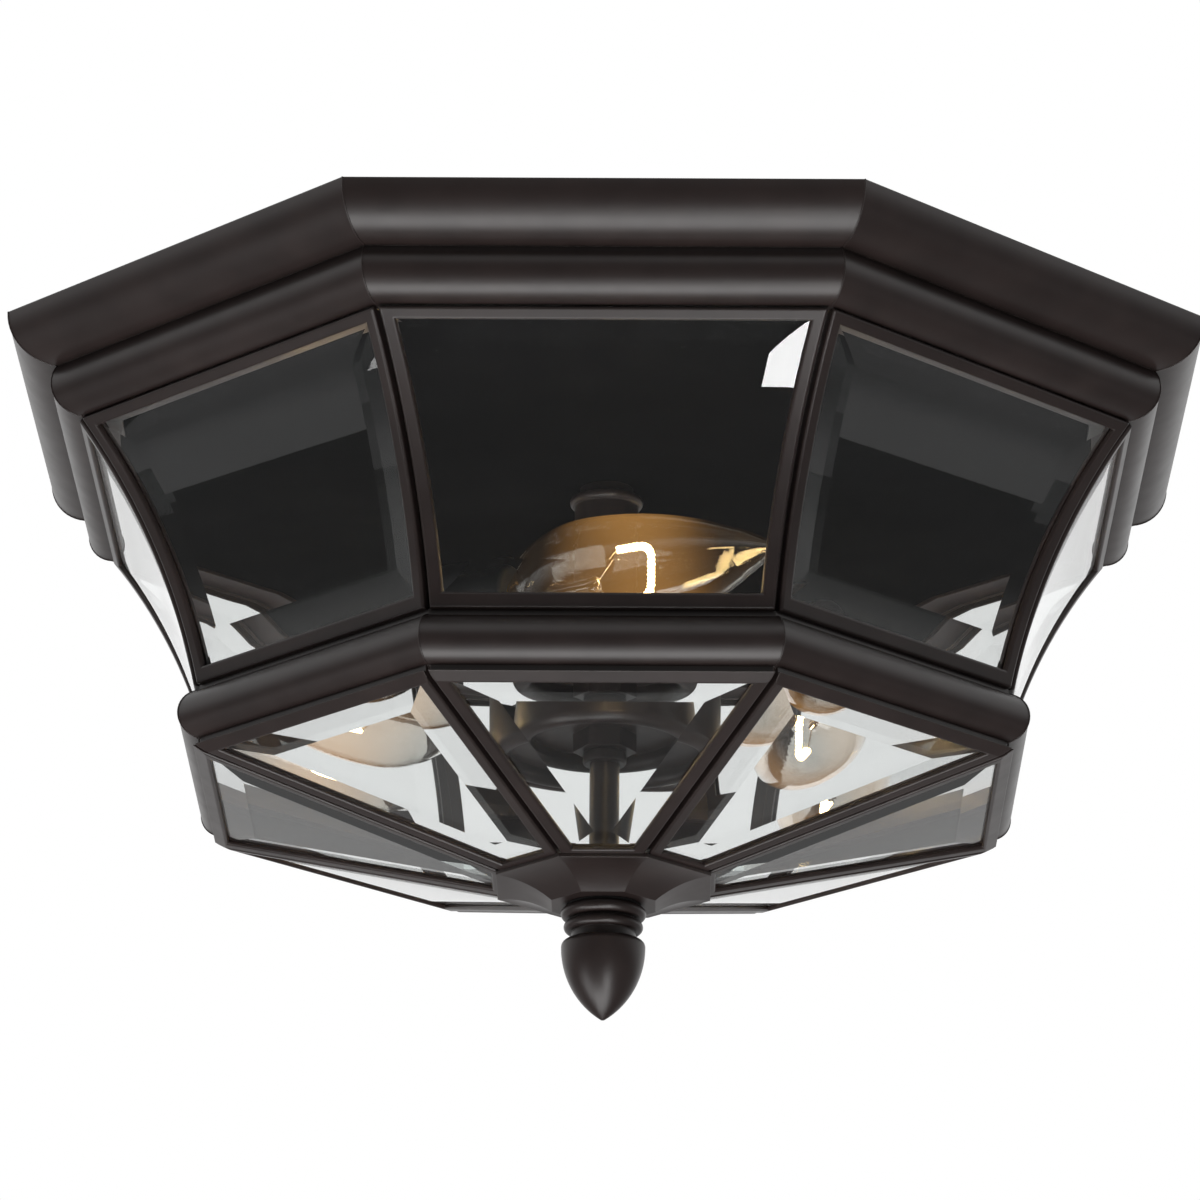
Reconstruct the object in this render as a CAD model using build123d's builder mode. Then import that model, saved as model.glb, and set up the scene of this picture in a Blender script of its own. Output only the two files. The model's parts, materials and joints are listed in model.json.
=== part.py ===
from build123d import *
import math
import os

# Octagonal flush mount ceiling light with bevelled glass.
# Millimetres, +Z up, origin at the centre of the pan on the ceiling plane.
# One flat of the octagon faces -Y, and "apothem" is the distance from the axis to a flat.

os.makedirs("parts", exist_ok=True)

# Octagon
sides = 8
sector = 360 / sides
half_sector = math.radians(sector / 2)

# Ceiling pan: two stacked rolls, open towards the ceiling, closed below by a plate
pan_flats = 394.0
pan_wall = 1.2
roll_1_radius = 16.0
roll_1_lip = 0.4
roll_2_radius = 10.4
roll_2_bulge = 1.6
roll_2_crease = math.radians(35.0)
flange_width = 14.0
plate_thickness = 1.0
plate_clearance = 1.5

# Crossbar and screws that hold the pan to the ceiling box
crossbar_width = 20.0
crossbar_thickness = 2.0
box_screw_spacing = 79.4
box_slot_length = 14.3
box_slot_width = 4.8
pan_screw_gap = 10.15
crossbar_end = 8.0
ground_screw_x = 18.0
screw_radius = 2.05
screw_clearance = 0.1
screw_head_radius = 4.0
screw_head_height = 2.4

# Centre rod and what is threaded on it
rod_radius = 5.0
rod_bore_radius = 3.0
rod_tail = 4.0
rod_clearance = 0.1
nut_flats = 18.5
nut_height = 6.5
collar_wall = 2.3
collar_height = 4.5
collar_edge = 1.0

# Column around the rod
column_radius = 10.8
column_neck_in = 1.8
column_neck_height = 3.2
column_ring_out = 1.6
column_ring_height = 3.6

# Cluster cup that carries the lamp arms
cup_top = -86.0
cup_taper = 3.2
cup_radius = 31.2
cup_height = 36.0
cup_wall = 1.6
cup_rim_radius = 3.4
cup_recess_height = 5.0

# Lamp arms: a straight run, an elbow with a knob, and a sweep that ends in a socket bell
arm_turns = (190.0, 320.0, 70.0)
lamp_z = -94.2
arm_tube_radius = 4.75
arm_clearance = 0.05
arm_bore_radius = 3.2
arm_root = 24.0
elbow_reach = 94.0
elbow_bend = 9.5
elbow_knob_radius = 8.6
arm_ring_radius = 7.4
arm_ring_width = 3.0
arm_ring_gap = 5.0
arm_sweep_inset = 90.3
arm_sweep = 53.0
bell_wall = 1.1
bell_flare = 13.0
bell_depth = 7.0

# Lamp holders and torpedo lamps, measured along the lamp axis from the arm's end
socket_radius = 11.0
socket_clearance = 0.1
socket_length = 30.5
socket_edge = 1.5
base_radius = 5.95
base_length = 18.0
base_clearance = 0.08
lamp_seat = 0.6
lamp_radius = 18.9
lamp_neck_lap = 0.45
lamp_belly = 29.0
lamp_nose = 65.0
lamp_wall = 0.7
lamp_tip = 0.4
stem_radius = 2.0
stem_length = 27.0
filament_wire = 0.5
filament_height = 8.0
filament_run = 14.0
filament_splay = 6.0

# Cage: curved upper panes, half-round band, sloping lower panes, hub
cage_gap = 0.6
cage_height = 87.0
cage_head_out = 1.8
cage_taper = 39.7
flare_radius = 215.0
band_neck = 1.8
band_height = 16.4
band_bulge = 6.6
band_wall = 1.2
band_inset = 2.0
band_lip = 5.0
lower_rim_in = 0.6
lower_rim_drop = 3.8
rim_slant = 4.0
rim_rise = 1.3
rim_land = 0.3
rim_recess = 1.5
lower_fall = 28.9
hub_apothem = 35.6
hub_seat = 3.0
hub_wall = 0.4
hub_depth = 6.8
hub_neck_apothem = 17.2
hub_scoop = 1.6
hub_clearance = 0.3

# Pane frames: folded channel with a seam between neighbours
strip_width = 4.2
strip_back = 1.1
seam_gap = 1.6
seam_web = 1.0
strip_round = 0.6

# Bevelled glass
glass_thickness = 3.5
glass_sink = 0.5
glass_clearance = 0.1
channel_bite = 2.2
back_bite = 1.0
bevel_width = 12.7
bevel_depth = 1.3

# Finial and its seal washer
washer_radius = 12.4
washer_thickness = 0.8
finial_neck_radius = 12.0
finial_bead_bulge = 2.2
finial_bead_height = 4.0
finial_step = 0.8
finial_ring_radius = 13.2
finial_ring_height = 3.6
finial_waist_radius = 10.8
finial_waist_height = 3.3
acorn_radius = 14.0
acorn_shoulder = 1.8
acorn_nose = 24.8
acorn_tip = 0.6
finial_thread_depth = 12.0
finial_end_gap = 2.0
thread_clearance = 0.08

# Heights and places that follow from the sizes above
pan_apothem = pan_flats / 2
pan_screw_spacing = box_screw_spacing + box_slot_length + 2 * pan_screw_gap
crossbar_length = pan_screw_spacing + 2 * crossbar_end
roll_1_x = pan_apothem - roll_1_radius
roll_1_z = -roll_1_lip
crease_z = roll_1_z - roll_1_radius
roll_2_x = roll_1_x + roll_2_bulge - roll_2_radius
roll_2_z = crease_z - roll_2_radius * math.sin(roll_2_crease)
pan_bottom = roll_2_z - roll_2_radius
plate_bottom = pan_bottom + pan_wall
plate_top = plate_bottom + plate_thickness
plate_apothem = roll_2_x - plate_clearance

cage_top = pan_bottom - cage_gap
cage_head = roll_2_x + cage_head_out
cage_waist = cage_head - cage_taper
band_top = cage_top - cage_height
band_x = cage_waist - band_inset
bead_top = band_top - band_neck
band_bottom = bead_top - band_height
band_radius = (band_height**2 / 4 + band_bulge**2) / (2 * band_bulge)
band_hollow = math.sqrt((band_radius - band_wall)**2 - (band_height / 2 - band_wall)**2)
hollow_x = band_x + band_bulge - band_radius + band_hollow
lower_rim_x = cage_waist - lower_rim_in
lower_rim_z = band_bottom - lower_rim_drop
hub_rim_z = lower_rim_z - lower_fall
lower_slope = math.atan2(lower_fall, lower_rim_x - hub_apothem)
hub_seat_x = hub_apothem - hub_seat
hub_seat_z = hub_rim_z - hub_seat * math.tan(lower_slope)
hub_bottom = hub_seat_z - hub_depth

collar_radius = rod_radius + collar_wall
column_neck_radius = column_radius - column_neck_in
column_ring_radius = column_radius + column_ring_out
cup_shoulder_radius = cup_radius - cup_taper
cup_bottom = cup_top - cup_height
nut_top = cup_bottom + cup_recess_height
collar_top = nut_top - nut_height
washer_top = hub_bottom
finial_top = washer_top - washer_thickness
rod_top = plate_top + nut_height + rod_tail
rod_end = finial_top - finial_thread_depth
light_drop = finial_top - finial_bead_height - finial_step - finial_ring_height
light_drop = light_drop - finial_waist_height - acorn_shoulder - acorn_nose

# Circle of the curved panes: through the head and foot of the cage, with its centre outside
flare_dx = cage_head - cage_waist
flare_chord = math.hypot(flare_dx, cage_height)
flare_reach = math.sqrt(flare_radius**2 - flare_chord**2 / 4)
flare_x = (cage_head + cage_waist) / 2 + flare_reach * cage_height / flare_chord
flare_z = (cage_top + band_top) / 2 - flare_reach * flare_dx / flare_chord
flare_head = math.degrees(math.atan2(cage_top - flare_z, cage_head - flare_x))
flare_foot = math.degrees(math.atan2(band_top - flare_z, cage_waist - flare_x))

# Margins and depths shared by both sets of panes: the strip's front lip follows the bevel
came_margin = seam_gap / 2
window_margin = came_margin + strip_width
glass_margin = window_margin - channel_bite
back_margin = glass_margin + back_bite
groove_margin = glass_margin - glass_clearance
glass_back = glass_thickness + glass_sink
groove_back = glass_back + glass_clearance
frame_depth = groove_back + strip_back
web_front = frame_depth - seam_web
bevel_at_lip = bevel_depth * math.cos(half_sector) * (1 - channel_bite / bevel_width)
strip_lip = bevel_at_lip + glass_sink - glass_clearance

# Plane of the lower panes: along the slope from the rim to the hub, and into the cage
lower_plane = Plane(
    origin=(lower_rim_x, 0, lower_rim_z),
    x_dir=(-math.cos(lower_slope), 0, -math.sin(lower_slope)),
    z_dir=(0, 1, 0),
)
lower_middle = Vector((lower_rim_x + hub_apothem) / 2, 0, (lower_rim_z + hub_rim_z) / 2)
lower_run = (lower_rim_x - hub_seat_x) / math.cos(lower_slope)
rim_reach = frame_depth * math.sin(lower_slope)

# Axis of a lamp on an arm that points along +X; a wider cage gives its arms a wider sweep
arm_sweep_radius = cage_waist - arm_sweep_inset
lamp_heading = math.radians(90 + arm_sweep)
lamp_plane = Plane(
    origin=(
        elbow_reach - arm_sweep_radius * (1 - math.cos(math.radians(arm_sweep))),
        elbow_bend + arm_sweep_radius * math.sin(math.radians(arm_sweep)),
        lamp_z,
    ),
    x_dir=(math.cos(lamp_heading), math.sin(lamp_heading), 0),
    z_dir=(0, 0, 1),
)
lamp_axis = Axis(lamp_plane.origin, lamp_plane.x_dir)
lamp_side = Plane(lamp_plane.origin, x_dir=lamp_plane.x_dir, z_dir=-lamp_plane.y_dir)
socket_back = bell_flare
bell_radius = socket_radius + socket_clearance + bell_wall
lamp_neck_radius = base_radius + lamp_neck_lap
socket_mouth = socket_back + socket_length
lamp_start = socket_mouth + lamp_seat
base_start = lamp_start - base_length
belly_s = lamp_start + lamp_belly


# Plan of one octagon side, drawn back from both mitre planes by a margin
def sector_plan(margin):
    apex = margin / math.sin(half_sector)
    far = 2 * pan_apothem
    spread = (far - apex) * math.tan(half_sector)
    Polygon((apex, 0), (far, -spread), (far, spread), align=None)


# Slice of a curved pane between two depths behind its outer face, short of its ends and sides
def curved_pane(front, back, end_margin, side_margin):
    inset = math.degrees(end_margin / flare_radius)
    start = flare_head + inset
    sweep_angle = flare_foot - flare_head - 2 * inset
    with BuildPart() as pane:
        with BuildSketch(Plane.XZ):
            with BuildLine():
                outer = CenterArc((flare_x, flare_z), flare_radius + front, start, sweep_angle)
                inner = CenterArc((flare_x, flare_z), flare_radius + back, start, sweep_angle)
                Line(outer @ 0, inner @ 0)
                Line(outer @ 1, inner @ 1)
            make_face()
        extrude(amount=pan_apothem, both=True)
        with BuildSketch(Plane.XY):
            sector_plan(side_margin)
        extrude(amount=-light_drop, both=True, mode=Mode.INTERSECT)
    return pane.part


# Slice of a lower pane between two depths behind its outer face, short of its ends and sides
def flat_pane(front, back, rim_margin, hub_margin, side_margin):
    with BuildPart() as pane:
        with BuildSketch(lower_plane):
            with BuildLine():
                Polyline(
                    (rim_margin, front),
                    (lower_run - hub_margin, front),
                    (lower_run - hub_margin, back),
                    (rim_margin, back),
                    close=True,
                )
            make_face()
        extrude(amount=pan_apothem, both=True)
        with BuildSketch(Plane.XY):
            sector_plan(side_margin)
        extrude(amount=-light_drop, both=True, mode=Mode.INTERSECT)
    return pane.part


# Turns a piece of the -Y facing set to its place and writes it
def place(piece, turn, label):
    placed = piece.rotate(Axis.Z, turn)
    placed.label = label
    export_step(placed, f"parts/{label}.step")


# Ceiling pan: one side of the moulding, then all eight mitred together
with BuildPart() as pan_side:
    with BuildSketch(Plane.XZ):
        inner_2 = roll_2_radius - pan_wall
        inner_crease = math.asin((crease_z + pan_wall - roll_2_z) / inner_2)
        with BuildLine():
            lip = Line((pan_apothem, 0), (pan_apothem, roll_1_z))
            roll_1 = CenterArc((roll_1_x, roll_1_z), roll_1_radius, 0, -90)
            roll_2_turn = math.degrees(roll_2_crease) + 90
            roll_2 = CenterArc((roll_2_x, roll_2_z), roll_2_radius, math.degrees(roll_2_crease), -roll_2_turn)
            ledge = Line(roll_1 @ 1, roll_2 @ 0)
            flange = Polyline(
                roll_2 @ 1,
                (roll_2_x - flange_width, pan_bottom),
                (roll_2_x - flange_width, plate_bottom),
                (roll_2_x, plate_bottom),
            )
            back_2 = CenterArc((roll_2_x, roll_2_z), inner_2, -90, 90 + math.degrees(inner_crease))
            back_1 = CenterArc((roll_1_x, roll_1_z), roll_1_radius - pan_wall, -90, 90)
            Line(back_2 @ 1, back_1 @ 0)
            Polyline(back_1 @ 1, (pan_apothem - pan_wall, 0), lip @ 0)
        make_face()
    extrude(amount=pan_apothem, both=True)
    with BuildSketch(Plane.XY):
        sector_plan(0)
    extrude(amount=-light_drop, both=True, mode=Mode.INTERSECT)

with BuildPart() as ceiling_pan:
    with PolarLocations(0, sides):
        add(pan_side.part)
ceiling_pan.part.label = "ceiling_pan"
export_step(ceiling_pan.part, "parts/ceiling_pan.step")

# Plate that closes the pan and carries the rod
with BuildPart() as pan_plate:
    with BuildSketch(Plane.XY.offset(plate_bottom)):
        RegularPolygon(plate_apothem, sides, major_radius=False, rotation=sector / 2)
    extrude(amount=plate_thickness)
    with Locations((0, 0, plate_top)):
        Hole(rod_radius + rod_clearance)
    with Locations((-pan_screw_spacing / 2, 0, plate_top), (pan_screw_spacing / 2, 0, plate_top)):
        Hole(screw_radius + screw_clearance)
pan_plate.part.label = "pan_plate"
export_step(pan_plate.part, "parts/pan_plate.step")

# Crossbar with the two slots for the ceiling box
with BuildPart() as crossbar:
    with BuildSketch(Plane.XY):
        SlotOverall(crossbar_length, crossbar_width)
        with Locations((-box_screw_spacing / 2, 0), (box_screw_spacing / 2, 0)):
            SlotOverall(box_slot_length, box_slot_width, mode=Mode.SUBTRACT)
        screw_places = ((-pan_screw_spacing / 2, 0), (pan_screw_spacing / 2, 0), (ground_screw_x, 0))
        with Locations(*screw_places):
            Circle(screw_radius + screw_clearance, mode=Mode.SUBTRACT)
    extrude(amount=-crossbar_thickness)
crossbar.part.label = "crossbar"
export_step(crossbar.part, "parts/crossbar.step")

# Screws from below the plate up into the crossbar
with BuildPart() as mounting_screws:
    with Locations((-pan_screw_spacing / 2, 0, plate_bottom), (pan_screw_spacing / 2, 0, plate_bottom)):
        Cylinder(screw_radius, -plate_bottom, align=(Align.CENTER, Align.CENTER, Align.MIN))
        Cylinder(screw_head_radius, screw_head_height, align=(Align.CENTER, Align.CENTER, Align.MAX))
    head_edges = mounting_screws.edges().group_by(Axis.Z)[0]
    fillet(head_edges, screw_head_height / 2)
mounting_screws.part.label = "mounting_screws"
export_step(mounting_screws.part, "parts/mounting_screws.step")

# Earth screw under the crossbar
with BuildPart() as ground_screw:
    with Locations((ground_screw_x, 0, -crossbar_thickness)):
        Cylinder(screw_radius, crossbar_thickness, align=(Align.CENTER, Align.CENTER, Align.MIN))
        Cylinder(screw_head_radius, screw_head_height, align=(Align.CENTER, Align.CENTER, Align.MAX))
ground_screw.part.label = "ground_screw"
export_step(ground_screw.part, "parts/ground_screw.step")

# Threaded pipe from above the plate down into the finial
with BuildPart() as center_rod:
    with BuildSketch(Plane.XY.offset(rod_top)):
        Circle(rod_radius)
        Circle(rod_bore_radius, mode=Mode.SUBTRACT)
    extrude(amount=rod_end - rod_top)
center_rod.part.label = "center_rod"
export_step(center_rod.part, "parts/center_rod.step")

# Hex nuts on the rod: one on the plate, one in the cup's recess
for label, nut_z in (("rod_lock_nut", plate_top), ("cluster_nut", collar_top)):
    with BuildPart() as nut:
        with BuildSketch(Plane.XY.offset(nut_z)):
            RegularPolygon(nut_flats / 2, 6, major_radius=False)
            Circle(rod_radius + rod_clearance, mode=Mode.SUBTRACT)
        extrude(amount=nut_height)
    nut.part.label = label
    export_step(nut.part, f"parts/{label}.step")

# Ring under the nut
with BuildPart() as rod_collar:
    with BuildSketch(Plane.XY.offset(collar_top)):
        Circle(collar_radius)
        Circle(rod_radius + rod_clearance, mode=Mode.SUBTRACT)
    extrude(amount=-collar_height)
    fillet(rod_collar.edges().filter_by(GeomType.CIRCLE).sort_by(SortBy.RADIUS)[-2:], collar_edge)
rod_collar.part.label = "rod_collar"
export_step(rod_collar.part, "parts/rod_collar.step")

# Turned column with its collar ring, from the plate to the cup
with BuildPart() as column:
    ring_top = plate_bottom - column_neck_height
    ring_bottom = ring_top - column_ring_height
    with BuildSketch(Plane.XZ):
        bore = rod_radius + rod_clearance
        with BuildLine():
            Polyline(
                (bore, plate_bottom),
                (column_neck_radius, plate_bottom),
                (column_neck_radius, ring_top),
                (column_radius, ring_top),
            )
            ring_mid = (column_ring_radius, (ring_top + ring_bottom) / 2)
            ring = ThreePointArc((column_radius, ring_top), ring_mid, (column_radius, ring_bottom))
            Polyline(ring @ 1, (column_radius, cup_top), (bore, cup_top), (bore, plate_bottom))
        make_face()
    revolve(axis=Axis.Z)
column.part.label = "column"
export_step(column.part, "parts/column.step")

# Cluster cup: a bell with a rolled rim, a recess for the nut and three holes for the arms
with BuildPart() as cluster_cup:
    rim_z = cup_bottom + cup_rim_radius
    rim_x = cup_radius - cup_rim_radius
    recess_z = nut_top
    bore = rod_radius + rod_clearance
    with BuildSketch(Plane.XZ):
        with BuildLine():
            roof_end = (cup_shoulder_radius - cup_rim_radius, cup_top)
            roof = Polyline((bore, recess_z), (bore, cup_top), roof_end)
            shoulder = CenterArc(
                (cup_shoulder_radius - cup_rim_radius, cup_top - cup_rim_radius), cup_rim_radius, 90, -90
            )
            flank = Line(shoulder @ 1, (cup_radius, rim_z))
            rim = CenterArc((rim_x, rim_z), cup_rim_radius, 0, -180)
            Polyline(rim @ 1, (rim_x - cup_rim_radius, recess_z), roof @ 0)
        make_face()
        with BuildLine():
            Polyline(
                (bore + cup_wall, cup_top - cup_wall),
                (cup_shoulder_radius - cup_rim_radius, cup_top - cup_wall),
                (cup_radius - 2 * cup_wall, rim_z),
                (rim_x - cup_rim_radius, recess_z + cup_wall),
                (bore + cup_wall, recess_z + cup_wall),
                close=True,
            )
        make_face(mode=Mode.SUBTRACT)
    revolve(axis=Axis.Z)
    for turn in arm_turns:
        with BuildSketch(Plane.YZ.rotated((0, 0, turn)).offset(arm_root)):
            with Locations((0, lamp_z)):
                Circle(arm_tube_radius + arm_clearance)
        extrude(amount=cup_radius - arm_root, mode=Mode.SUBTRACT)
cluster_cup.part.label = "cluster_cup"
export_step(cluster_cup.part, "parts/cluster_cup.step")

# Lamp arm along +X
with BuildPart() as lamp_arm:
    with BuildLine(Plane.XY.offset(lamp_z)) as arm_path:
        run = Line((arm_root, 0), (elbow_reach - elbow_bend, 0))
        elbow = JernArc(run @ 1, run % 1, elbow_bend, 90)
        JernArc(elbow @ 1, elbow % 1, arm_sweep_radius, arm_sweep)
    arm_start = Plane(origin=(arm_root, 0, lamp_z), x_dir=(0, 1, 0), z_dir=(1, 0, 0))
    with BuildSketch(arm_start):
        Circle(arm_tube_radius)
    sweep(path=arm_path.line)
    with Locations(elbow @ 0.5):
        Sphere(elbow_knob_radius)
    ring_start = elbow_reach - elbow_bend - arm_ring_gap - arm_ring_width
    with BuildSketch(arm_start.offset(ring_start - arm_root)):
        Circle(arm_ring_radius)
    extrude(amount=arm_ring_width)
    with BuildSketch(lamp_plane):
        with BuildLine():
            bell_mid = (bell_flare * 0.55, arm_tube_radius + (bell_radius - arm_tube_radius) * 0.35)
            flare = ThreePointArc((0, arm_tube_radius), bell_mid, (bell_flare, bell_radius))
            Polyline(
                flare @ 1,
                (bell_flare + bell_depth, bell_radius),
                (bell_flare + bell_depth, 0),
                (0, 0),
                flare @ 0,
            )
        make_face()
    revolve(axis=lamp_axis)
    with BuildSketch(arm_start):
        Circle(arm_bore_radius)
    sweep(path=arm_path.line, mode=Mode.SUBTRACT)
    with BuildSketch(lamp_plane):
        with BuildLine():
            Polyline(
                (0, 0),
                (0, arm_bore_radius),
                (socket_back, arm_bore_radius),
                (socket_back, socket_radius + socket_clearance),
                (bell_flare + bell_depth, socket_radius + socket_clearance),
                (bell_flare + bell_depth, 0),
                close=True,
            )
        make_face()
    revolve(axis=lamp_axis, mode=Mode.SUBTRACT)

# Black lamp holder with the bore for the lamp's base
with BuildPart() as lamp_socket:
    with BuildSketch(lamp_plane):
        with BuildLine():
            Polyline(
                (socket_back, 0),
                (socket_back, socket_radius),
                (socket_mouth, socket_radius),
                (socket_mouth, base_radius + base_clearance),
                (base_start - lamp_seat, base_radius + base_clearance),
                (base_start - lamp_seat, 0),
                close=True,
            )
        make_face()
    revolve(axis=lamp_axis)
    mouth_edges = lamp_socket.edges().filter_by(GeomType.CIRCLE).sort_by(SortBy.RADIUS)[-2:]
    fillet(mouth_edges, socket_edge)

# Torpedo envelope: a round back half and a pointed nose, both arcs meeting at the belly
with BuildPart() as bulb_glass:
    nose_drop = lamp_radius - lamp_tip
    nose_radius = (lamp_nose**2 + nose_drop**2) / (2 * nose_drop)
    neck_drop = lamp_radius - lamp_neck_radius
    back_radius = (lamp_belly**2 + neck_drop**2) / (2 * neck_drop)
    nose_centre = (belly_s, lamp_radius - nose_radius)
    back_centre = (belly_s, lamp_radius - back_radius)
    nose_turn = math.degrees(math.asin(lamp_nose / nose_radius))
    back_turn = math.degrees(math.asin(lamp_belly / back_radius))
    inner_nose = nose_radius - lamp_wall
    inner_back = back_radius - lamp_wall
    inner_turn = math.degrees(math.acos((nose_radius - nose_drop) / inner_nose))
    neck_turn = math.degrees(math.asin(lamp_belly / inner_back))
    hollow_end = belly_s + inner_nose * math.sin(math.radians(inner_turn))
    with BuildSketch(lamp_plane):
        with BuildLine():
            back_arc = CenterArc(back_centre, back_radius, 90, back_turn)
            nose_arc = CenterArc(nose_centre, nose_radius, 90, -nose_turn)
            hollow_back = CenterArc(back_centre, inner_back, 90, neck_turn)
            hollow_nose = CenterArc(nose_centre, inner_nose, 90, -inner_turn)
            Polyline(nose_arc @ 1, (belly_s + lamp_nose, 0), (hollow_end, 0), hollow_nose @ 1)
            Line(back_arc @ 1, hollow_back @ 1)
        make_face()
    revolve(axis=lamp_axis)

# Screw base with the glass stem, lead wires and filament loop that stand on it
with BuildPart() as bulb_base:
    stem_end = lamp_start + stem_length
    loop_start = stem_end + filament_splay
    with BuildSketch(lamp_plane):
        with BuildLine():
            Polyline(
                (base_start, 0),
                (base_start, base_radius),
                (lamp_start, base_radius),
                (lamp_start, stem_radius),
                (stem_end, stem_radius),
                (stem_end, 0),
                close=True,
            )
        make_face()
    revolve(axis=lamp_axis)
    with BuildLine(lamp_side) as filament_path:
        FilletPolyline(
            (stem_end - stem_radius, stem_radius / 2),
            (loop_start, filament_height),
            (loop_start + filament_run, filament_height),
            (loop_start + filament_run, -filament_height),
            (loop_start, -filament_height),
            (stem_end - stem_radius, -stem_radius / 2),
            radius=filament_height / 4,
        )
    with BuildSketch(Plane(filament_path.line @ 0, z_dir=filament_path.line % 0)):
        Circle(filament_wire)
    sweep(path=filament_path.line)

for number, turn in enumerate(arm_turns, start=1):
    place(lamp_arm.part, turn, f"lamp_arm_{number}")
    place(lamp_socket.part, turn, f"lamp_socket_{number}")
    place(bulb_glass.part, turn, f"bulb_glass_{number}")
    place(bulb_base.part, turn, f"bulb_base_{number}")

# Upper frame: channel strips with a web that meets the neighbour at the mitre
with BuildPart() as upper_frame:
    add(curved_pane(0, frame_depth, -frame_depth, came_margin))
    add(curved_pane(web_front, frame_depth, -frame_depth, 0))
    add(curved_pane(-frame_depth, groove_back, window_margin, window_margin), mode=Mode.SUBTRACT)
    add(curved_pane(strip_lip, 2 * frame_depth, back_margin, back_margin), mode=Mode.SUBTRACT)
    add(curved_pane(strip_lip, groove_back, groove_margin, groove_margin), mode=Mode.SUBTRACT)
    split(bisect_by=Plane.XY.offset(cage_top), keep=Keep.BOTTOM)
    split(bisect_by=Plane.XY.offset(band_top), keep=Keep.TOP)
    curved_faces = upper_frame.faces().filter_by(GeomType.CYLINDER)
    fillet(curved_faces.sort_by(lambda face: face.radius)[0].edges(), strip_round * strip_lip)

# Curved bevelled pane
with BuildPart() as upper_glass:
    add(curved_pane(glass_sink, glass_back, glass_margin, glass_margin))
    bevel_face = upper_glass.faces().filter_by(GeomType.CYLINDER).sort_by(lambda face: face.radius)[0]
    chamfer(bevel_face.edges(), bevel_width, bevel_depth, reference=bevel_face)

# Lower frame: the same channel on the flat slope, with a slanted rim and a shadow gap under the band
with BuildPart() as lower_frame:
    add(flat_pane(0, frame_depth, -rim_reach, 0, came_margin))
    add(flat_pane(web_front, frame_depth, -rim_reach, 0, 0))
    add(flat_pane(-frame_depth, groove_back, window_margin, window_margin, window_margin), mode=Mode.SUBTRACT)
    add(flat_pane(strip_lip, 2 * frame_depth, back_margin, back_margin, back_margin), mode=Mode.SUBTRACT)
    add(flat_pane(strip_lip, groove_back, groove_margin, groove_margin, groove_margin), mode=Mode.SUBTRACT)
    split(bisect_by=Plane.XY.offset(band_bottom), keep=Keep.BOTTOM)
    split(bisect_by=Plane.YZ.offset(lower_rim_x), keep=Keep.BOTTOM)
    outward = Axis((0, 0, 0), -lower_plane.y_dir)
    fillet(lower_frame.faces().sort_by(outward)[-1].edges(), strip_round * strip_lip)
    slant_top = lower_rim_z + rim_rise
    slant_foot = lower_plane.from_local_coords((rim_slant, 0))
    with BuildSketch(Plane.XZ):
        with BuildLine():
            Polyline(
                (slant_foot.X, slant_foot.Z),
                (lower_rim_x, slant_top),
                (lower_rim_x, slant_top + rim_land),
                (lower_rim_x - rim_recess, slant_top + rim_land),
                (lower_rim_x - rim_recess, band_bottom),
                (lower_rim_x + rim_slant, band_bottom),
                (lower_rim_x + rim_slant, slant_foot.Z),
                close=True,
            )
        make_face()
    extrude(amount=pan_apothem, both=True, mode=Mode.SUBTRACT)

# Flat bevelled pane
with BuildPart() as lower_glass:
    add(flat_pane(glass_sink, glass_back, glass_margin, glass_margin, glass_margin))
    for bevel_edge in lower_glass.faces().sort_by(outward)[-1].edges():
        inward = lower_middle - bevel_edge @ 0.5
        across = lower_plane.y_dir.cross(bevel_edge % 0.5)
        across = across if across.dot(inward) > 0 else -across
        bevel_normal = across * bevel_depth + lower_plane.y_dir * bevel_width
        bevel_place = bevel_edge @ 0.5 + lower_plane.y_dir * bevel_depth
        split(bisect_by=Plane(bevel_place, z_dir=bevel_normal), keep=Keep.TOP)

for number in range(sides):
    turn = number * sector - 90
    place(upper_frame.part, turn, f"upper_frame_{number + 1}")
    place(upper_glass.part, turn, f"upper_glass_{number + 1}")
    place(lower_frame.part, turn, f"lower_frame_{number + 1}")
    place(lower_glass.part, turn, f"lower_glass_{number + 1}")

# Half-round band with a short neck between the upper and lower panes, open towards the inside
with BuildPart() as band_side:
    with BuildSketch(Plane.XZ):
        with BuildLine():
            crown_z = (bead_top + band_bottom) / 2
            crown_x = band_x + band_bulge
            bead = ThreePointArc((band_x, bead_top), (crown_x, crown_z), (band_x, band_bottom))
            hollow = ThreePointArc(
                (hollow_x, bead_top - band_wall),
                (crown_x - band_wall, crown_z),
                (hollow_x, band_bottom + band_wall),
            )
            Polyline(
                bead @ 0,
                (band_x, band_top),
                (band_x - band_lip, band_top),
                (band_x - band_lip, bead_top - band_wall),
                hollow @ 0,
            )
            Polyline(
                bead @ 1,
                (band_x - band_lip, band_bottom),
                (band_x - band_lip, band_bottom + band_wall),
                hollow @ 1,
            )
        make_face()
    extrude(amount=pan_apothem, both=True)
    with BuildSketch(Plane.XY):
        sector_plan(0)
    extrude(amount=-light_drop, both=True, mode=Mode.INTERSECT)

with BuildPart() as mid_band:
    with PolarLocations(0, sides):
        add(band_side.part)
mid_band.part.label = "mid_band"
export_step(mid_band.part, "parts/mid_band.step")

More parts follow.
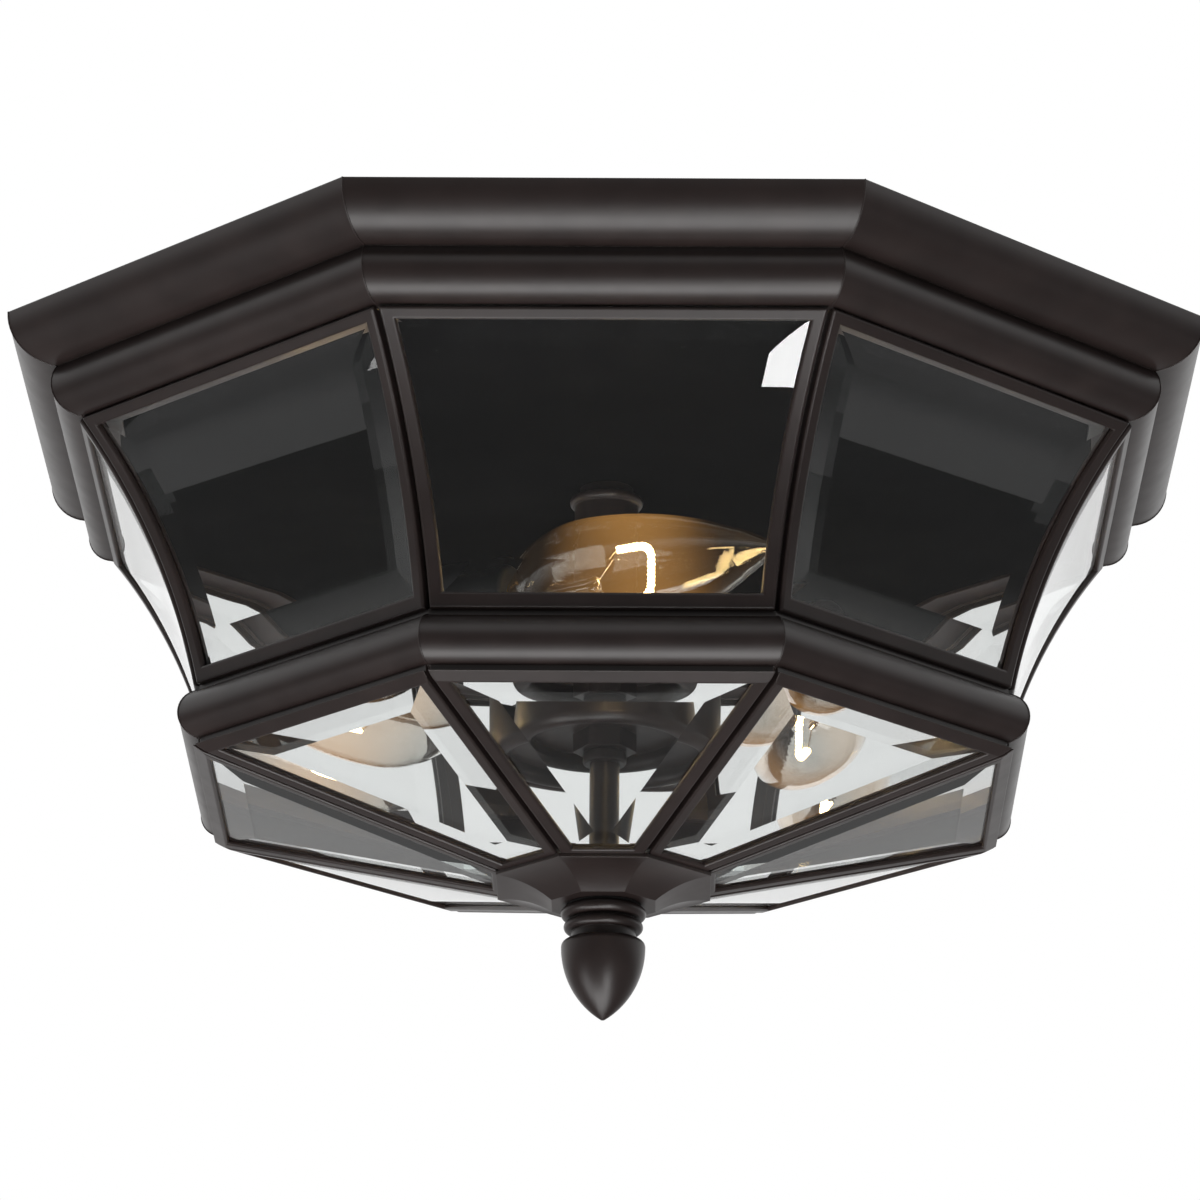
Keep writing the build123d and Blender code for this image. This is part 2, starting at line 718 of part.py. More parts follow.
# Hub with scooped facets under the inner ends of the lower frames
with BuildPart() as hub_side:
    lip_z = hub_seat_z - hub_wall
    scoop_x = (hub_apothem + hub_neck_apothem) / 2
    scoop_z = (lip_z + hub_bottom) / 2 + hub_scoop
    with BuildSketch(Plane.XZ):
        with BuildLine():
            scoop = ThreePointArc((hub_apothem, lip_z), (scoop_x, scoop_z), (hub_neck_apothem, hub_bottom))
            Polyline(
                scoop @ 1,
                (0, hub_bottom),
                (0, hub_seat_z),
                (hub_seat_x, hub_seat_z),
                (hub_apothem, hub_rim_z),
                scoop @ 0,
            )
        make_face()
    extrude(amount=pan_apothem, both=True)
    with BuildSketch(Plane.XY):
        sector_plan(0)
    extrude(amount=-light_drop, both=True, mode=Mode.INTERSECT)

with BuildPart() as hub:
    with PolarLocations(0, sides):
        add(hub_side.part)
    with Locations((0, 0, hub_seat_z)):
        Hole(rod_radius + hub_clearance)
hub.part.label = "hub"
export_step(hub.part, "parts/hub.step")

# Seal washer between hub and finial
with BuildPart() as finial_washer:
    with BuildSketch(Plane.XY.offset(washer_top)):
        Circle(washer_radius)
        Circle(rod_radius + hub_clearance, mode=Mode.SUBTRACT)
    extrude(amount=-washer_thickness)
finial_washer.part.label = "finial_washer"
export_step(finial_washer.part, "parts/finial_washer.step")

# Turned finial: bead, ring and acorn, bored for the rod
with BuildPart() as finial:
    bead_end = finial_top - finial_bead_height
    ring_start = bead_end - finial_step
    ring_end = ring_start - finial_ring_height
    waist_end = ring_end - finial_waist_height
    belly_z = waist_end - acorn_shoulder
    acorn_drop = acorn_radius - acorn_tip
    acorn_arc = (acorn_nose**2 + acorn_drop**2) / (2 * acorn_drop)
    acorn_turn = math.degrees(math.atan2(acorn_nose, acorn_arc - acorn_drop))
    bead_x = finial_neck_radius + finial_bead_bulge
    bore = rod_radius + thread_clearance
    with BuildSketch(Plane.XZ):
        with BuildLine():
            acorn = CenterArc((acorn_radius - acorn_arc, belly_z), acorn_arc, 0, -acorn_turn)
            top = Polyline(
                acorn @ 1,
                (0, light_drop),
                (0, rod_end - finial_end_gap),
                (bore, rod_end - finial_end_gap),
                (bore, finial_top),
                (finial_neck_radius, finial_top),
            )
            bead_mid = (bead_x, (finial_top + bead_end) / 2)
            bead = ThreePointArc(top @ 1, bead_mid, (finial_neck_radius, bead_end))
            step = Polyline(bead @ 1, (finial_waist_radius, bead_end), (finial_waist_radius, ring_start))
            ring_mid = (finial_ring_radius, (ring_start + ring_end) / 2)
            ring = ThreePointArc(step @ 1, ring_mid, (finial_waist_radius, ring_end))
            waist = Line(ring @ 1, (finial_waist_radius, waist_end))
            shoulder_mid = (acorn_radius - acorn_shoulder / 5, waist_end - acorn_shoulder / 3)
            ThreePointArc(waist @ 1, shoulder_mid, acorn @ 0)
        make_face()
    revolve(axis=Axis.Z)
finial.part.label = "finial"
export_step(finial.part, "parts/finial.step")
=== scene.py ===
"""Looks of the octagonal flush mount ceiling light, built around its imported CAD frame.

Metres, +Z up, origin at the centre of the pan on the ceiling plane, camera on the -Y side.
"""

import json
import math

import bpy
from mathutils import Matrix, Vector


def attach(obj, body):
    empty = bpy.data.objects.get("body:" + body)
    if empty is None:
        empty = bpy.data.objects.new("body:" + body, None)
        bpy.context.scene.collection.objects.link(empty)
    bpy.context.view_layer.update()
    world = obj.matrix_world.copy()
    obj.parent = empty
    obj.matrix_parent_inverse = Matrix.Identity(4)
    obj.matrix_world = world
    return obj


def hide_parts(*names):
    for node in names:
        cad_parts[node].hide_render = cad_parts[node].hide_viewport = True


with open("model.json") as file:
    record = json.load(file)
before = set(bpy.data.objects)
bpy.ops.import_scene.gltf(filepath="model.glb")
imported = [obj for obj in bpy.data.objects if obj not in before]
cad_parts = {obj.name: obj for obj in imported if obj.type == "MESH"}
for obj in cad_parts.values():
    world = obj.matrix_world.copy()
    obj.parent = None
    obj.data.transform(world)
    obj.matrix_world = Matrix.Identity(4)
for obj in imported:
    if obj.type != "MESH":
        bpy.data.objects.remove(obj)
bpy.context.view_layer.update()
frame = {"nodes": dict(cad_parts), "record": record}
nodes = frame["nodes"]

MM = 0.001
SIDES = 8
HALF_SECTOR = math.pi / SIDES
LAMPS = (1, 2, 3)

# Camera fitted to the photograph, with its lens and shift in the photograph's pixels
PHOTO_PIXELS = 1200
FOCAL_PIXELS = 6279.1
SHIFT_PIXELS = (-5.9, 0.9)
SENSOR_WIDTH = 36.0
CAMERA_PLACE = (0, -2.0053, -0.7644)
CAMERA_TURN = math.radians(0.5)
CAMERA_TILT = math.radians(90 + 19.06)
CAMERA_ROLL = math.radians(0.45)

# Rounds of the pan and the band as in the solids: apothem, height and radius, and the angles that they span
PAN_APOTHEM = 0.197
ROLL_1 = (0.181, -0.0004, 0.016)
ROLL_2 = (0.1722, -0.02236, 0.0104)
ROLL_2_START = math.radians(35)
BAND = (0.1305061, -0.1303652, 0.0083939)
BAND_SWEEP = math.radians(77.7)
ROLL_STEPS, BAND_STEPS = 14, 18
SEAM_RADIUS = 0.28 * MM

# Lamps as in the solids: turns about the light, the end of an arm, and places along a lamp's own axis
LAMP_TURNS = (190.0, 320.0, 70.0)
LAMP_END = (0.0764851, 0.0446399, -0.0942)
LAMP_HEADING = math.radians(143)
BASE_START, LAMP_START = 0.0261, 0.0441
BASE_RADIUS = 0.00595
STEM_END = LAMP_START + 0.031
FILAMENT_AT = LAMP_START + 0.043

# Insides of a lamp: outlines in millimetres along the axis and away from it
THREAD_PITCH, THREAD_DEPTH = 1.9 * MM, 0.25 * MM
STEM_FLARE = ((0, 5.2), (2, 4.9), (6, 3.2), (11, 2.2))
STEM_BEAD = ((-5, 1.9), (-2, 2.6), (-0.6, 2.0), (0, 0.0))
LEAD_ROUTE = ((-2, 0.9), (0, 1.2), (5, 6.5), (6.5, 7.6))
LEAD_START = STEM_END - 1 * MM
LEAD_RADIUS = 0.3 * MM
FILAMENT_REACH, FILAMENT_CORNER = 19 * MM, 4 * MM
FILAMENT_RADIUS = 0.45 * MM
COIL_RADIUS, COIL_PITCH, COIL_STEPS = 0.9 * MM, 1.3 * MM, 8

# Refractive indices
PANE_IOR, LAMP_IOR = 1.6, 1.45


# Camera, world and lights

def add_camera():
    """A long lens below the light, looking up at it, with one flat of the octagon towards it."""
    data = bpy.data.cameras.new("camera")
    data.sensor_width = SENSOR_WIDTH
    data.lens = SENSOR_WIDTH * FOCAL_PIXELS / PHOTO_PIXELS
    data.shift_x = SHIFT_PIXELS[0] / PHOTO_PIXELS
    data.shift_y = SHIFT_PIXELS[1] / PHOTO_PIXELS
    camera = bpy.data.objects.new("camera", data)
    around = Matrix.Rotation(CAMERA_TURN, 4, "Z")
    tilt = Matrix.Rotation(CAMERA_TILT, 4, "X")
    roll = Matrix.Rotation(CAMERA_ROLL, 4, "Z")
    camera.matrix_world = around @ Matrix.Translation(CAMERA_PLACE) @ tilt @ roll
    bpy.context.scene.collection.objects.link(camera)
    bpy.context.scene.camera = camera


def add_world():
    """White where it is seen directly or through glass. In reflections it dims towards the front and below."""
    wall_foot, wall_full, foot_level = -0.22, -0.05, 0.3
    side, back = 0.0, 0.3
    height_weight, dim_end, bright_end, dim_level = 3.0, -0.2, 1.1, 0.09
    ambient_level = 0.18
    world = bpy.data.worlds.new("studio")
    bpy.context.scene.world = world
    world.use_nodes = True
    tree = world.node_tree
    tree.nodes.clear()
    new, link = tree.nodes.new, tree.links.new
    path = new("ShaderNodeLightPath")
    coordinates = new("ShaderNodeTexCoord")
    direction = new("ShaderNodeSeparateXYZ")
    link(coordinates.outputs["Generated"], direction.inputs[0])
    backward, upward = direction.outputs["Y"], direction.outputs["Z"]
    passing = path.outputs["Is Transmission Ray"]
    wall = blend(tree, upward, wall_foot, wall_full, foot_level, 1.0)
    behind = math_node(tree, "MULTIPLY", wall, blend(tree, backward, side, back, 0.0, 1.0))
    through = math_node(tree, "MULTIPLY", passing, behind)
    seen = math_node(tree, "MAXIMUM", path.outputs["Is Camera Ray"], through)
    raised = math_node(tree, "ADD", backward, math_node(tree, "MULTIPLY", upward, height_weight))
    studio = blend(tree, raised, dim_end, bright_end, dim_level, 1.0)
    bounced = math_node(tree, "MAXIMUM", path.outputs["Is Glossy Ray"], passing)
    mirrored = math_node(tree, "MULTIPLY", bounced, studio)
    ambient = math_node(tree, "MULTIPLY", math_node(tree, "SUBTRACT", 1.0, bounced), ambient_level)
    strength = math_node(tree, "MAXIMUM", seen, math_node(tree, "ADD", mirrored, ambient))
    background = new("ShaderNodeBackground")
    background.inputs["Color"].default_value = (1, 1, 1, 1)
    link(strength, background.inputs["Strength"])
    output = new("ShaderNodeOutputWorld")
    link(background.outputs[0], output.inputs["Surface"])


def add_area(name, location, target, size, power):
    """A soft rectangular lamp that the camera doesn't see."""
    data = bpy.data.lights.new(name, "AREA")
    data.shape = "RECTANGLE"
    data.size, data.size_y = size
    data.energy = power
    lamp = bpy.data.objects.new(name, data)
    lamp.location = location
    lamp.rotation_euler = (Vector(target) - Vector(location)).to_track_quat("-Z", "Y").to_euler()
    lamp.visible_camera = False
    bpy.context.scene.collection.objects.link(lamp)


def add_lights():
    """A wide softbox below, one on the left, and a small one that a bevel of the front pane mirrors."""
    middle, front_bevel = (0, 0, -0.1), (0.05, -0.16, -0.06)
    add_area("softbox_below", (-0.12, -0.684, -1.98), middle, (1.9, 1.1), 30)
    add_area("softbox_left", (-1.54, -0.62, -1.54), middle, (0.8, 1.0), 9)
    add_area("softbox_right", (0.5, -1.455, -1.52), front_bevel, (0.32, 0.42), 7)


# Node helpers

def math_node(tree, operation, a, b):
    """A Math node of two inputs, each a socket or a number. Returns its output."""
    node = tree.nodes.new("ShaderNodeMath")
    node.operation = operation
    for socket, value in zip(node.inputs, (a, b)):
        if isinstance(value, (int, float)):
            socket.default_value = value
        else:
            tree.links.new(value, socket)
    return node.outputs[0]


def noise(tree, scale, detail):
    """Noise in the object's own coordinates, at a scale per metre. Returns its value."""
    coordinates = tree.nodes.new("ShaderNodeTexCoord")
    node = tree.nodes.new("ShaderNodeTexNoise")
    node.inputs["Scale"].default_value = scale
    node.inputs["Detail"].default_value = detail
    tree.links.new(coordinates.outputs["Object"], node.inputs["Vector"])
    return node.outputs["Fac"]


def ramp(tree, value, low, high, colour_low, colour_high):
    """Blends between two colours as value goes from low to high. Returns the colour."""
    node = tree.nodes.new("ShaderNodeValToRGB")
    node.color_ramp.elements[0].position = low
    node.color_ramp.elements[1].position = high
    node.color_ramp.elements[0].color = (*colour_low, 1)
    node.color_ramp.elements[1].color = (*colour_high, 1)
    tree.links.new(value, node.inputs["Fac"])
    return node.outputs["Color"]


def mottling(tree, scale, detail, colour_low, colour_high):
    """Patches of two colours from noise, over the range that its values mostly have. Returns the colour."""
    return ramp(tree, noise(tree, scale, detail), 0.3, 0.7, colour_low, colour_high)


def blend(tree, value, start, end, low, high, kind="LINEAR"):
    """Goes from low to high as value goes from start to end, and stays there outside. Returns the result."""
    node = tree.nodes.new("ShaderNodeMapRange")
    node.interpolation_type = kind
    for name, number in (("From Min", start), ("From Max", end), ("To Min", low), ("To Max", high)):
        node.inputs[name].default_value = number
    tree.links.new(value, node.inputs["Value"])
    return node.outputs["Result"]


def bump(tree, height, strength, distance, normal=None):
    """A bump from a height value, on top of another normal if one is given. Returns the normal."""
    node = tree.nodes.new("ShaderNodeBump")
    node.inputs["Strength"].default_value = strength
    node.inputs["Distance"].default_value = distance
    tree.links.new(height, node.inputs["Height"])
    if normal is not None:
        tree.links.new(normal, node.inputs["Normal"])
    return node.outputs["Normal"]


def soft_edge(tree, radius):
    """The surface normal with its edges eased by a radius."""
    node = tree.nodes.new("ShaderNodeBevel")
    node.samples = 6
    node.inputs["Radius"].default_value = radius
    return node.outputs["Normal"]


def edge_mask(tree, radius):
    """About 0 on flat stretches and 1 along sharp edges."""
    eased = soft_edge(tree, radius)
    geometry = tree.nodes.new("ShaderNodeNewGeometry")
    dot = tree.nodes.new("ShaderNodeVectorMath")
    dot.operation = "DOT_PRODUCT"
    tree.links.new(eased, dot.inputs[0])
    tree.links.new(geometry.outputs["Normal"], dot.inputs[1])
    return math_node(tree, "SUBTRACT", 1.0, dot.outputs["Value"])


def new_material(name):
    """A new material with its Principled shader. Returns material, tree and shader."""
    material = bpy.data.materials.new(name)
    material.use_nodes = True
    return material, material.node_tree, material.node_tree.nodes["Principled BSDF"]


# Materials

def painted_metal(name, dark, light, worn, roughness, specular, peel):
    """Sprayed metal: slight mottling, fine orange peel, and paint rubbed thin on the edges."""
    wear_width, edge_radius, peel_depth, uneven = 0.5 * MM, 0.45 * MM, 0.02 * MM, 0.05
    material, tree, shader = new_material(name)
    mottled = ramp(tree, noise(tree, 55, 5), 0.35, 0.7, dark, light)
    mix = tree.nodes.new("ShaderNodeMix")
    mix.data_type = "RGBA"
    wear = ramp(tree, edge_mask(tree, wear_width), 0.02, 0.3, (0, 0, 0), (1, 1, 1))
    scratchy = math_node(tree, "MULTIPLY", wear, noise(tree, 240, 4))
    tree.links.new(scratchy, mix.inputs["Factor"])
    tree.links.new(mottled, mix.inputs["A"])
    mix.inputs["B"].default_value = (*worn, 1)
    tree.links.new(mix.outputs["Result"], shader.inputs["Base Color"])
    polish = blend(tree, noise(tree, 130, 4), 0.0, 1.0, roughness - uneven, roughness + uneven)
    tree.links.new(polish, shader.inputs["Roughness"])
    eased = soft_edge(tree, edge_radius)
    tree.links.new(bump(tree, noise(tree, 1500, 2), peel, peel_depth, eased), shader.inputs["Normal"])
    shader.inputs["Specular IOR Level"].default_value = specular
    return material


def clear_glass(name, tint, density, waviness):
    """Polished glass with a faint waviness and a colour that only shows through its thickness."""
    dullest, wave_height = 0.012, 1 * MM
    material, tree, shader = new_material(name)
    shader.inputs["Base Color"].default_value = (1, 1, 1, 1)
    shader.inputs["Transmission Weight"].default_value = 1.0
    shader.inputs["IOR"].default_value = PANE_IOR
    tree.links.new(blend(tree, noise(tree, 90, 3), 0.0, 1.0, 0.0, dullest), shader.inputs["Roughness"])
    tree.links.new(bump(tree, noise(tree, 14, 1), waviness, wave_height), shader.inputs["Normal"])
    absorption = tree.nodes.new("ShaderNodeVolumeAbsorption")
    absorption.inputs["Color"].default_value = (*tint, 1)
    absorption.inputs["Density"].default_value = density
    output = tree.nodes["Material Output"]
    tree.links.new(absorption.outputs[0], output.inputs["Volume"])
    return material


def lamp_envelope(name, hot):
    """Thin lamp glass with a smoky tint, and a painted glow: the glass itself emits the filament's warm light
    near a hot point.
    """
    near, far, near_painted_glow, far_painted_glow = 15 * MM, 32 * MM, 0.11, 0.003
    material, tree, shader = new_material(name)
    tinted = mottling(tree, 30, 2, (0.775, 0.765, 0.73), (0.815, 0.81, 0.785))
    tree.links.new(tinted, shader.inputs["Base Color"])
    shader.inputs["Transmission Weight"].default_value = 1.0
    shader.inputs["IOR"].default_value = LAMP_IOR
    shader.inputs["Roughness"].default_value = 0.0
    coordinates = tree.nodes.new("ShaderNodeTexCoord")
    away = tree.nodes.new("ShaderNodeVectorMath")
    away.operation = "DISTANCE"
    tree.links.new(coordinates.outputs["Object"], away.inputs[0])
    away.inputs[1].default_value = hot
    # Painted glow: the glass emits warm light, strongest near the filament and fading away from it
    painted_glow = blend(tree, away.outputs["Value"], near, far, near_painted_glow, far_painted_glow, "SMOOTHSTEP")
    shader.inputs["Emission Color"].default_value = (1.0, 0.48, 0.12, 1)
    tree.links.new(painted_glow, shader.inputs["Emission Strength"])
    return material


def bare_metal(name, low, high, roughness):
    """Unpainted metal with fine uneven polish."""
    uneven = 0.08
    material, tree, shader = new_material(name)
    tree.links.new(mottling(tree, 300, 3, low, high), shader.inputs["Base Color"])
    shader.inputs["Metallic"].default_value = 1.0
    polish = blend(tree, noise(tree, 420, 3), 0.0, 1.0, roughness - uneven, roughness + uneven)
    tree.links.new(polish, shader.inputs["Roughness"])
    return material


def dull(name, low, high, roughness, grain):
    """Moulded plastic or rubber with a fine grain."""
    grain_strength, grain_depth = 0.15, 0.05 * MM
    material, tree, shader = new_material(name)
    tree.links.new(mottling(tree, 180, 3, low, high), shader.inputs["Base Color"])
    shader.inputs["Roughness"].default_value = roughness
    tree.links.new(bump(tree, noise(tree, grain, 2), grain_strength, grain_depth), shader.inputs["Normal"])
    return material


def glowing(name, colour, strength):
    """A hot filament, with slightly uneven brightness along it."""
    brighter = 1.15
    material, tree, shader = new_material(name)
    shader.inputs["Base Color"].default_value = (0.1, 0.08, 0.06, 1)
    shader.inputs["Roughness"].default_value = 0.6
    warm = mottling(tree, 400, 2, colour, tuple(min(1, c * brighter) for c in colour))
    tree.links.new(warm, shader.inputs["Emission Color"])
    shader.inputs["Emission Strength"].default_value = strength
    return material


BRONZE = painted_metal(
    "bronze", (0.02, 0.0135, 0.0125), (0.028, 0.019, 0.0175), (0.11, 0.095, 0.085), 0.36, 0.5, 0.25
)
INNER = painted_metal(
    "inner_bronze", (0.0045, 0.0045, 0.005), (0.007, 0.007, 0.0075), (0.02, 0.019, 0.018), 0.5, 0.0, 0.02
)
GLASS = clear_glass("pane_glass", (0.5, 0.76, 0.68), 14.0, 0.03)
STEM_GLASS = clear_glass("stem_glass", (0.8, 0.8, 0.75), 8.0, 0.02)
BRASS = bare_metal("lamp_brass", (0.62, 0.42, 0.17), (0.8, 0.58, 0.28), 0.3)
NICKEL = bare_metal("lead_nickel", (0.55, 0.53, 0.5), (0.72, 0.7, 0.66), 0.25)
ZINC = bare_metal("zinc", (0.5, 0.5, 0.48), (0.66, 0.66, 0.63), 0.35)
BLACK = dull("black_plastic", (0.01, 0.01, 0.0105), (0.016, 0.016, 0.017), 0.5, 900)
RUBBER = dull("rubber", (0.012, 0.012, 0.012), (0.022, 0.022, 0.022), 0.75, 1200)
GREEN = painted_metal(
    "green_paint", (0.02, 0.16, 0.05), (0.03, 0.21, 0.07), (0.35, 0.36, 0.33), 0.4, 0.5, 0.2
)
FILAMENT = glowing("filament", (1.0, 0.66, 0.3), 40.0)

BY_SLOT = {
    "bronze": BRONZE,
    "gloss_bronze": INNER,
    "clear_glass": GLASS,
    "lamp_glass": STEM_GLASS,
    "lamp_brass": BRASS,
    "black_plastic": BLACK,
    "zinc": ZINC,
    "green_paint": GREEN,
    "rubber": RUBBER,
}


def lamp_place(number):
    """The frame of a lamp: X along its axis from the arm's end, Z up."""
    turn = Matrix.Rotation(math.radians(LAMP_TURNS[number - 1]), 4, "Z")
    return turn @ Matrix.Translation(LAMP_END) @ Matrix.Rotation(LAMP_HEADING, 4, "Z")


def lamp_envelopes():
    """The glass of each lamp, by node, with a painted glow at that lamp's filament."""
    envelopes = {}
    for number in LAMPS:
        hot = lamp_place(number) @ Vector((FILAMENT_AT, 0, 0))
        envelopes[f"bulb_glass_{number}"] = lamp_envelope(f"lamp_glass_{number}", hot)
    return envelopes


def dress_nodes():
    """Gives every CAD node its material. Glass casts no shadow, so light gets in and out."""
    envelopes = lamp_envelopes()
    for entry in frame["record"]["subparts"]:
        node = nodes[entry["node"]]
        node.data.materials.clear()
        if entry["node"] in envelopes:
            node.data.materials.append(envelopes[entry["node"]])
        else:
            node.data.materials.append(BY_SLOT[entry["material_slot"]])
        if entry["material_slot"] in ("clear_glass", "lamp_glass"):
            node.visible_shadow = False


# Shapes

def add_mesh(name, points, faces, material, smooth=True):
    """A mesh object from points and faces."""
    mesh = bpy.data.meshes.new(name)
    mesh.from_pydata(points, [], faces)
    mesh.materials.append(material)
    mesh.polygons.foreach_set("use_smooth", [smooth] * len(mesh.polygons))
    mesh.update()
    piece = bpy.data.objects.new(name, mesh)
    bpy.context.scene.collection.objects.link(piece)
    return piece


def add_wire(name, points, radius, material):
    """A round wire through points."""
    data = bpy.data.curves.new(name, "CURVE")
    data.dimensions = "3D"
    data.bevel_depth = radius
    data.bevel_resolution = 3
    data.use_fill_caps = True
    spline = data.splines.new("POLY")
    spline.points.add(len(points) - 1)
    for point, place in zip(spline.points, points):
        point.co = (*place, 1)
    data.materials.append(material)
    piece = bpy.data.objects.new(name, data)
    bpy.context.scene.collection.objects.link(piece)
    return piece


def ring(place, along, radii):
    """Points round the local X axis of place at one distance along it, evenly spread, with a radius each."""
    points = []
    for step, radius in enumerate(radii):
        angle = 2 * math.pi * step / len(radii)
        points.append(place @ Vector((along, radius * math.cos(angle), radius * math.sin(angle))))
    return points


def ring_faces(rings, segments):
    """Four-sided faces between rings of points that follow each other."""
    faces = []
    for a in range(0, (rings - 1) * segments, segments):
        b = a + segments
        for step in range(segments):
            after = (step + 1) % segments
            faces.append((a + step, b + step, b + after, a + after))
    return faces


def arc(centre, start, end, steps):
    """Points (apothem, height) along an arc given as (apothem, height, radius), from angle to angle."""
    x, z, radius = centre
    angles = [start + (end - start) * step / steps for step in range(steps + 1)]
    return [(x + radius * math.cos(a), z + radius * math.sin(a)) for a in angles]


def corner_line(profile, corner):
    """Puts profile points (apothem, height) on one corner of the octagon."""
    turn = (2 * corner + 1) * HALF_SECTOR
    reach = 1 / math.cos(HALF_SECTOR)
    return [(x * reach * math.cos(turn), x * reach * math.sin(turn), z) for x, z in profile]


# Pieces

def add_seams():
    """Thin soldered mitre lines over the corners of the pan and the band."""
    roll_1 = [(PAN_APOTHEM, 0)] + arc(ROLL_1, 0, -math.pi / 2, ROLL_STEPS)
    roll_2 = arc(ROLL_2, ROLL_2_START, -math.pi / 2, ROLL_STEPS)
    band = arc(BAND, BAND_SWEEP, -BAND_SWEEP, BAND_STEPS)
    parts = (("roll_1", roll_1, "fixture"), ("roll_2", roll_2, "fixture"), ("band", band, "cage"))
    for corner in range(SIDES):
        for part, profile, body in parts:
            line = corner_line(profile, corner)
            seam = add_wire(f"seam_{part}_{corner + 1}", line, SEAM_RADIUS, BRONZE)
            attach(seam, body)


def add_lamp_base(number, place, body):
    """The brass base of a lamp, with its rolled thread, closed at the contact."""
    rows, segments = 90, 48
    points = []
    for row in range(rows + 1):
        along = BASE_START + (LAMP_START - BASE_START) * row / rows
        phase = 2 * math.pi * (along - BASE_START) / THREAD_PITCH
        waves = [math.sin(phase + 2 * math.pi * step / segments) for step in range(segments)]
        points += ring(place, along, [BASE_RADIUS - THREAD_DEPTH + THREAD_DEPTH * wave for wave in waves])
    faces = ring_faces(rows + 1, segments)
    faces.append(tuple(reversed(range(segments))))
    base = add_mesh(f"lamp_base_{number}", points, faces, BRASS)
    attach(base, body)
    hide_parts(f"bulb_base_{number}")


def add_lamp_stem(number, place, body):
    """The glass stem of a lamp: a flare at the base and a bead where the leads come out."""
    segments = 32
    profile = [(LAMP_START + along * MM, radius * MM) for along, radius in STEM_FLARE]
    profile += [(STEM_END + along * MM, radius * MM) for along, radius in STEM_BEAD]
    points = []
    for along, radius in profile:
        points += ring(place, along, [radius] * segments)
    stem = add_mesh(f"lamp_stem_{number}", points, ring_faces(len(profile), segments), STEM_GLASS)
    stem.visible_shadow = False
    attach(stem, body)


def filament_line():
    """A rounded C, from the upper lead forward, down and back to the lower lead."""
    reach, rise = (size * MM for size in LEAD_ROUTE[-1])
    bend_steps = 8
    bend_x = LEAD_START + FILAMENT_REACH - FILAMENT_CORNER
    bend_z = rise - FILAMENT_CORNER
    line = [Vector((LEAD_START + reach, 0, rise)), Vector((bend_x, 0, rise))]
    for centre_z, start, first in ((bend_z, math.pi / 2, 1), (-bend_z, 0.0, 0)):
        for step in range(first, bend_steps + 1):
            angle = start - math.pi / 2 * step / bend_steps
            across, up = FILAMENT_CORNER * math.cos(angle), FILAMENT_CORNER * math.sin(angle)
            line.append(Vector((bend_x + across, 0, centre_z + up)))
    line.append(Vector((LEAD_START + reach, 0, -rise)))
    return line


def coil_round(line):
    """The points of a wire that is coiled round a line in the XZ plane."""
    sideways = Vector((0, 1, 0))
    coil = []
    travelled = 0.0
    for a, b in zip(line, line[1:]):
        run = (b - a).length
        steps = max(2, int(run / (COIL_PITCH / COIL_STEPS)))
        along = (b - a).normalized()
        across = along.cross(sideways)
        for step in range(steps):
            angle = 2 * math.pi * (travelled + run * step / steps) / COIL_PITCH
            offset = across * math.cos(angle) * COIL_RADIUS + sideways * math.sin(angle) * COIL_RADIUS
            coil.append(a + along * run * step / steps + offset)
        travelled += run
    return coil


def add_lamp_insides(number):
    """Threaded base, glass stem, lead wires and coiled filament of one lamp."""
    place = lamp_place(number)
    body = f"bulb_{number}"
    add_lamp_base(number, place, body)
    add_lamp_stem(number, place, body)

    for side, way in ((1, "up"), (-1, "down")):
        route = [Vector((LEAD_START + along * MM, 0, side * height * MM)) for along, height in LEAD_ROUTE]
        lead = add_wire(f"lamp_lead_{number}_{way}", [place @ p for p in route], LEAD_RADIUS, NICKEL)
        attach(lead, body)

    coil = [place @ p for p in coil_round(filament_line())]
    filament = add_wire(f"lamp_filament_{number}", coil, FILAMENT_RADIUS, FILAMENT)
    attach(filament, body)


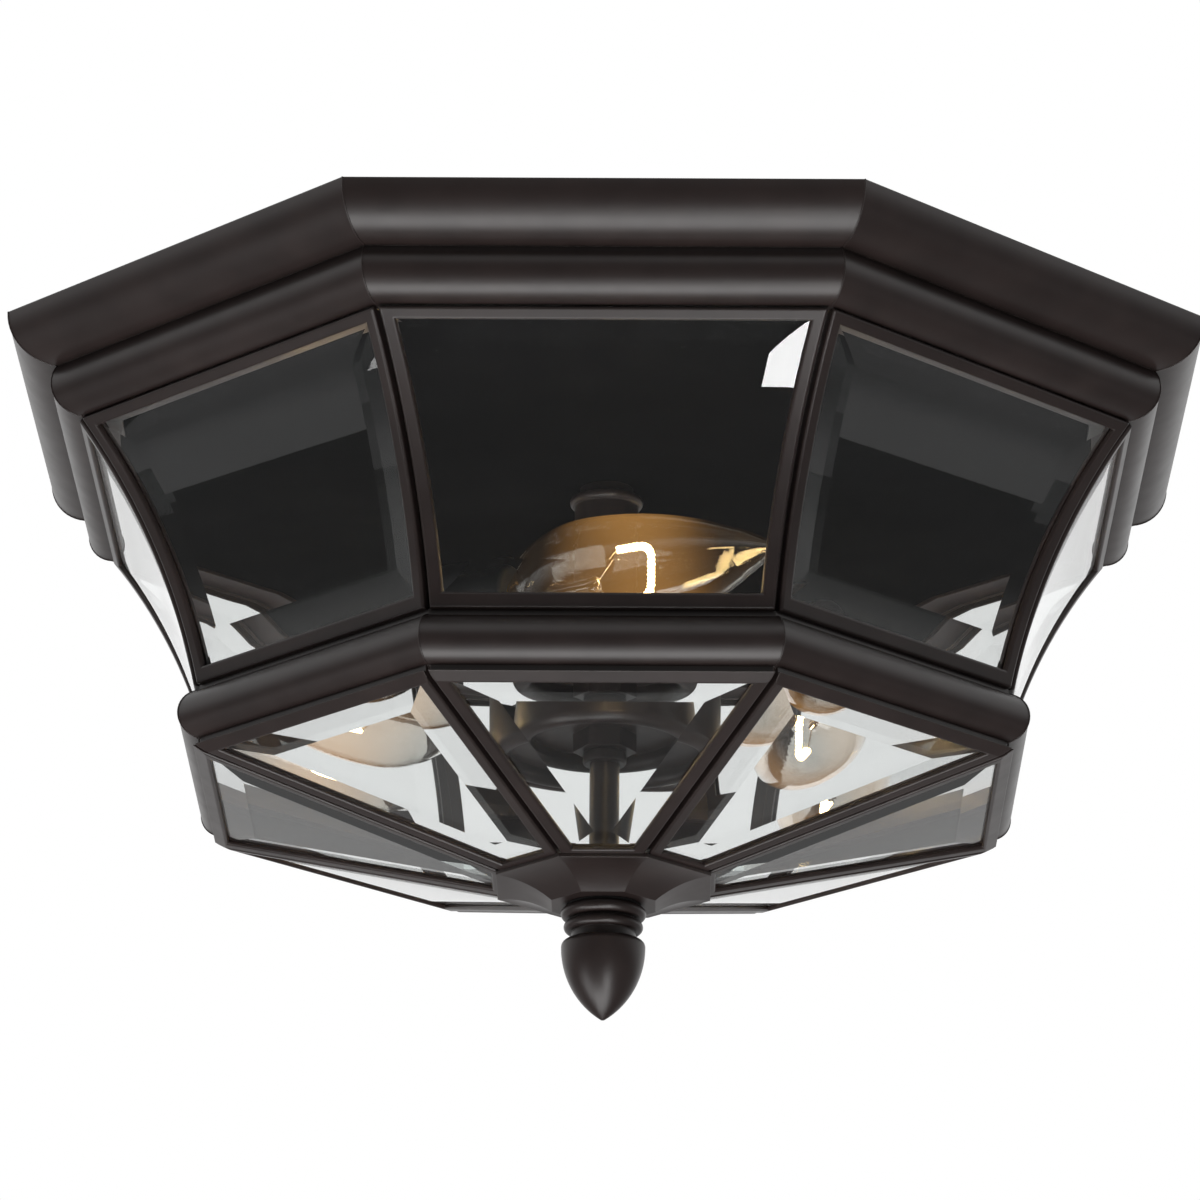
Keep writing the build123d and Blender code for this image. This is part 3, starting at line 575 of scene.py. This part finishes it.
# Floor

def floor_material():
    """Plain and pale, but in reflections dark under the light and grey at the back and the sides."""
    back_start, back_end, under_level, back_level = 1.9, 3.2, 0.1, 0.36
    side_start, side_end, side_level = 3.8, 5.6, 0.33
    direct_level = 0.55
    material, tree, shader = new_material("pale_floor")
    pale = mottling(tree, 180, 3, (0.78, 0.78, 0.77), (0.82, 0.82, 0.81))
    tree.links.new(pale, shader.inputs["Base Color"])
    shader.inputs["Roughness"].default_value = 0.8
    coordinates = tree.nodes.new("ShaderNodeTexCoord")
    place = tree.nodes.new("ShaderNodeSeparateXYZ")
    tree.links.new(coordinates.outputs["Object"], place.inputs[0])
    back = blend(tree, place.outputs["Y"], back_start, back_end, under_level, back_level)
    aside = math_node(tree, "ABSOLUTE", place.outputs["X"], 0)
    sides = blend(tree, aside, side_start, side_end, 0.0, side_level)
    mirrored = tree.nodes.new("ShaderNodeEmission")
    tree.links.new(math_node(tree, "MAXIMUM", back, sides), mirrored.inputs["Strength"])
    path = tree.nodes.new("ShaderNodeLightPath")
    shader.inputs["Emission Color"].default_value = (1, 1, 1, 1)
    direct = math_node(tree, "MULTIPLY", path.outputs["Is Camera Ray"], direct_level)
    tree.links.new(direct, shader.inputs["Emission Strength"])
    mix = tree.nodes.new("ShaderNodeMixShader")
    tree.links.new(path.outputs["Is Glossy Ray"], mix.inputs["Fac"])
    tree.links.new(shader.outputs[0], mix.inputs[1])
    tree.links.new(mirrored.outputs[0], mix.inputs[2])
    tree.links.new(mix.outputs[0], tree.nodes["Material Output"].inputs["Surface"])
    return material


def add_floor():
    """The pale floor of the room, far below the light."""
    size, height = 7.0, -2.4
    floor = add_mesh(
        "floor",
        [(-size, -size, height), (size, -size, height), (size, size, height), (-size, size, height)],
        [(0, 1, 2, 3)],
        floor_material(),
        smooth=False,
    )


bpy.context.scene.view_settings.view_transform = "Standard"
add_camera()
add_world()
add_lights()
dress_nodes()
add_seams()
for lamp in LAMPS:
    add_lamp_insides(lamp)
add_floor()
